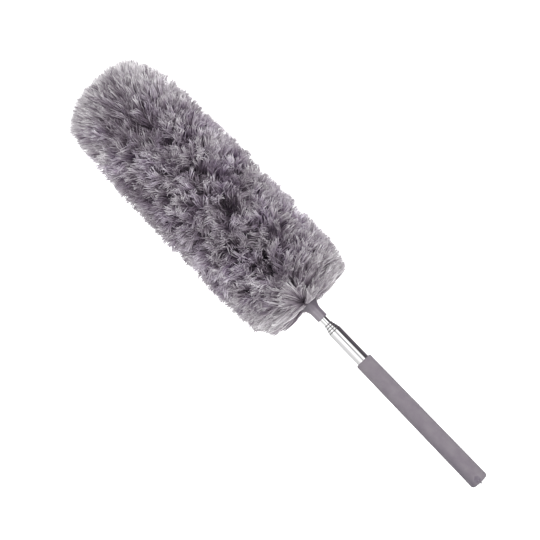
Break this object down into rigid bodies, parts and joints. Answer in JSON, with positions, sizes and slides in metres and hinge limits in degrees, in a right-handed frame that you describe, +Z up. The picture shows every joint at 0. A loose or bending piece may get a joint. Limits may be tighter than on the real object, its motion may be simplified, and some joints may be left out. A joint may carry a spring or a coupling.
{
  "type": "microfiber duster",
  "caption": "Fluffy gray microfiber dusting head on a telescopic chromed pole that slides and turns, with a soft grip and a trumpet-shaped collar.",
  "frame": {"origin": "on the resting surface, below the middle of the duster as it lies", "axes": "+Z up; the grip end points to +X and the fluffy head to -X, its axis in the XZ plane rising 6.4 degrees towards the head"},
  "size_m": [0.6182, 0.1318, 0.1365],
  "materials": {
    "grip_rubber": "matte",
    "polished_steel": "polished",
    "shim_plastic": "satin",
    "plug_plastic": "satin",
    "collar_plastic": "satin",
    "galvanised_wire": "satin",
    "microfiber": "matte"
  },
  "bodies": {
    "handle": {"grip_sleeve": "grip_rubber", "tube_end_plug": "plug_plastic", "tube_1": "polished_steel"},
    "shims_2": {"shim_2_upper": "shim_plastic", "shim_2_lower": "shim_plastic"},
    "section_2": {"tube_2": "polished_steel"},
    "shims_3": {"shim_3_upper": "shim_plastic", "shim_3_lower": "shim_plastic"},
    "section_3": {"tube_3": "polished_steel"},
    "shims_4": {"shim_4_upper": "shim_plastic", "shim_4_lower": "shim_plastic"},
    "section_4": {"tube_4": "polished_steel"},
    "shims_5": {"shim_5_upper": "shim_plastic", "shim_5_lower": "shim_plastic"},
    "head": {"tube_5": "polished_steel", "thread_stud": "polished_steel", "collar": "collar_plastic", "core_wire": "galvanised_wire", "tip_cap": "plug_plastic", "microfiber_pile": "microfiber"}
  },
  "joints": [
    {"name": "slide_2", "type": "slide", "parent": "handle", "child": "shims_2", "axis": [-0.9937, 0, 0.1119], "range_m": [0, 0.185]},
    {"name": "swivel_2", "type": "hinge", "parent": "shims_2", "child": "section_2", "pos_m": [0.28299, 0, 0.01318], "axis": [-0.9937, 0, 0.1119], "continuous": true},
    {"name": "slide_3", "type": "slide", "parent": "section_2", "child": "shims_3", "axis": [-0.9937, 0, 0.1119], "range_m": [0, 0.188]},
    {"name": "swivel_3", "type": "hinge", "parent": "shims_3", "child": "section_3", "pos_m": [0.28299, 0, 0.01318], "axis": [-0.9937, 0, 0.1119], "continuous": true},
    {"name": "slide_4", "type": "slide", "parent": "section_3", "child": "shims_4", "axis": [-0.9937, 0, 0.1119], "range_m": [0, 0.191]},
    {"name": "swivel_4", "type": "hinge", "parent": "shims_4", "child": "section_4", "pos_m": [0.28299, 0, 0.01318], "axis": [-0.9937, 0, 0.1119], "continuous": true},
    {"name": "slide_5", "type": "slide", "parent": "section_4", "child": "shims_5", "axis": [-0.9937, 0, 0.1119], "range_m": [0, 0.194]},
    {"name": "swivel_5", "type": "hinge", "parent": "shims_5", "child": "head", "pos_m": [0.28299, 0, 0.01318], "axis": [-0.9937, 0, 0.1119], "continuous": true}
  ]
}
